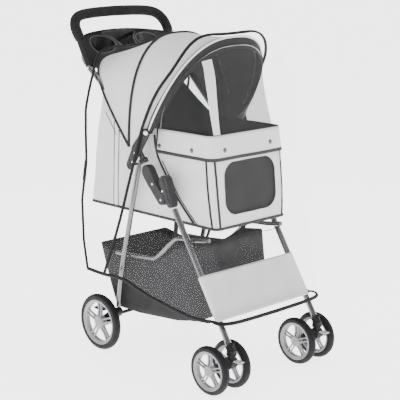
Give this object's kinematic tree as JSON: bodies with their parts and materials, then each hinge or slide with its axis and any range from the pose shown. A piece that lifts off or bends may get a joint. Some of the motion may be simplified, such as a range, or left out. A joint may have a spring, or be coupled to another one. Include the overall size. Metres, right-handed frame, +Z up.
{
  "type": "pet stroller",
  "caption": "Folding pet stroller with twin-wheel front casters, soft cabin, bowed canopy with netting, cup tray, under-basket and clear rain cover.",
  "frame": {"origin": "on the floor, under the middle of the object's box", "axes": "+Z up; the stroller faces -Y; +X is its left side, as the person pushing sees it"},
  "size_m": [0.4564, 0.7229, 1.0059],
  "materials": {
    "steel": "bright silver lacquer",
    "plastic": "fine moulded grain",
    "light_plastic": "satin",
    "foam": "soft foam skin",
    "tyre": "matt",
    "rim": "silver moulded",
    "cloth_light": "coated polyester weave",
    "cloth_dark": "polyester weave",
    "mesh": "netting",
    "film": "clear glossy film"
  },
  "bodies": {
    "rear_frame": {"rear_leg_left": "steel", "rear_leg_right": "steel", "rear_hub_left": "plastic", "rear_hub_right": "plastic", "rear_cross_tube": "plastic", "basket": "cloth_dark", "cabin_shell": "cloth_light", "floor_board": "plastic", "floor_mat": "cloth_dark", "rain_cover": "film"},
    "upper_frame": {"upper_tube_left": "steel", "upper_tube_right": "steel", "lock_upper_left": "plastic", "lock_upper_right": "plastic", "bracket_left": "plastic", "bracket_right": "plastic", "handle_bar": "plastic", "handle_grip": "foam", "parent_tray": "plastic"},
    "front_frame": {"front_leg_left": "steel", "front_leg_right": "steel", "lock_lower_left": "plastic", "lock_lower_right": "plastic", "caster_socket_left": "plastic", "caster_socket_right": "plastic", "front_cross_tube": "steel", "leg_panel": "cloth_light"},
    "side_rails": {"side_rail_left": "steel", "side_rail_right": "steel"},
    "canopy_mid": {"mid_bow": "steel", "canopy_rear": "cloth_light"},
    "canopy_front": {"front_bow": "steel", "canopy_front": "cloth_light", "front_mesh": "mesh"},
    "caster_left": {"caster_fork_left": "plastic", "axle_inner_left": "steel", "axle_outer_left": "steel"},
    "swivel_tab_left": {"swivel_lock_left": "light_plastic"},
    "brake_left": {"brake_pedal_left": "plastic"},
    "slider_left": {"lock_slider_left": "plastic"},
    "rear_wheel_left": {"rear_tyre_left": "tyre", "rear_rim_left": "rim"},
    "front_wheel_inner_left": {"front_tyre_inner_left": "tyre", "front_rim_inner_left": "rim"},
    "front_wheel_outer_left": {"front_tyre_outer_left": "tyre", "front_rim_outer_left": "rim"},
    "caster_right": {"caster_fork_right": "plastic", "axle_inner_right": "steel", "axle_outer_right": "steel"},
    "swivel_tab_right": {"swivel_lock_right": "light_plastic"},
    "brake_right": {"brake_pedal_right": "plastic"},
    "slider_right": {"lock_slider_right": "plastic"},
    "rear_wheel_right": {"rear_tyre_right": "tyre", "rear_rim_right": "rim"},
    "front_wheel_inner_right": {"front_tyre_inner_right": "tyre", "front_rim_inner_right": "rim"},
    "front_wheel_outer_right": {"front_tyre_outer_right": "tyre", "front_rim_outer_right": "rim"}
  },
  "joints": [
    {"name": "fold", "type": "hinge", "parent": "rear_frame", "child": "upper_frame", "pos_m": [0, 0.062, 0.583], "axis": [-1, 0, 0], "range_deg": [0, 82], "deforming": ["basket", "rain_cover", "leg_panel"]},
    {"name": "front_fold", "type": "hinge", "parent": "upper_frame", "child": "front_frame", "pos_m": [0, -0.057, 0.5], "axis": [1, 0, 0], "range_deg": [0, 124.6]},
    {"name": "rail_fold", "type": "hinge", "parent": "rear_frame", "child": "side_rails", "pos_m": [0, 0.13, 0.299], "axis": [-1, 0, 0], "range_deg": [0, 38]},
    {"name": "canopy_mid_tilt", "type": "hinge", "parent": "upper_frame", "child": "canopy_mid", "pos_m": [0, -0.004, 0.68], "axis": [-1, 0, 0], "range_deg": [0, 28], "deforming": ["canopy_rear"]},
    {"name": "canopy_front_tilt", "type": "hinge", "parent": "canopy_mid", "child": "canopy_front", "pos_m": [0, -0.004, 0.68], "axis": [-1, 0, 0], "range_deg": [0, 35.1], "deforming": ["canopy_front", "front_mesh"]},
    {"name": "swivel_left", "type": "hinge", "parent": "front_frame", "child": "caster_left", "pos_m": [0.1765, -0.322, 0.112], "axis": [0, 0, 1], "continuous": true},
    {"name": "swivel_lock_left", "type": "hinge", "parent": "caster_left", "child": "swivel_tab_left", "pos_m": [0.1765, -0.3385, 0.1], "axis": [1, 0, 0], "range_deg": [0, 20]},
    {"name": "brake_left", "type": "hinge", "parent": "rear_frame", "child": "brake_left", "pos_m": [0.16, 0.224, 0.115], "axis": [-1, 0, 0], "range_deg": [0, 18]},
    {"name": "fold_lock_left", "type": "slide", "parent": "upper_frame", "child": "slider_left", "axis": [0, 0.5647, 0.8253], "range_m": [0, 0.011]},
    {"name": "rear_wheel_left", "type": "hinge", "parent": "rear_frame", "child": "rear_wheel_left", "pos_m": [0.1893, 0.212, 0.0848], "axis": [1, 0, 0], "continuous": true},
    {"name": "front_wheel_inner_left", "type": "hinge", "parent": "caster_left", "child": "front_wheel_inner_left", "pos_m": [0.1353, -0.282, 0.0685], "axis": [1, 0, 0], "continuous": true},
    {"name": "front_wheel_outer_left", "type": "hinge", "parent": "caster_left", "child": "front_wheel_outer_left", "pos_m": [0.2177, -0.282, 0.0685], "axis": [1, 0, 0], "continuous": true},
    {"name": "swivel_right", "type": "hinge", "parent": "front_frame", "child": "caster_right", "pos_m": [-0.1765, -0.322, 0.112], "axis": [0, 0, 1], "continuous": true},
    {"name": "swivel_lock_right", "type": "hinge", "parent": "caster_right", "child": "swivel_tab_right", "pos_m": [-0.1765, -0.3385, 0.1], "axis": [1, 0, 0], "range_deg": [0, 20]},
    {"name": "brake_right", "type": "hinge", "parent": "rear_frame", "child": "brake_right", "pos_m": [-0.16, 0.224, 0.115], "axis": [-1, 0, 0], "range_deg": [0, 18]},
    {"name": "fold_lock_right", "type": "slide", "parent": "upper_frame", "child": "slider_right", "axis": [0, 0.5647, 0.8253], "range_m": [0, 0.011]},
    {"name": "rear_wheel_right", "type": "hinge", "parent": "rear_frame", "child": "rear_wheel_right", "pos_m": [-0.1893, 0.212, 0.0848], "axis": [1, 0, 0], "continuous": true},
    {"name": "front_wheel_inner_right", "type": "hinge", "parent": "caster_right", "child": "front_wheel_inner_right", "pos_m": [-0.1353, -0.282, 0.0685], "axis": [1, 0, 0], "continuous": true},
    {"name": "front_wheel_outer_right", "type": "hinge", "parent": "caster_right", "child": "front_wheel_outer_right", "pos_m": [-0.2177, -0.282, 0.0685], "axis": [1, 0, 0], "continuous": true}
  ],
  "couplings": [
    {"joint": "front_fold", "follows": "fold", "ratio": 1.5156},
    {"joint": "rail_fold", "follows": "fold", "ratio": 0.46139},
    {"joint": "canopy_front_tilt", "follows": "canopy_mid_tilt", "ratio": 1.25}
  ]
}
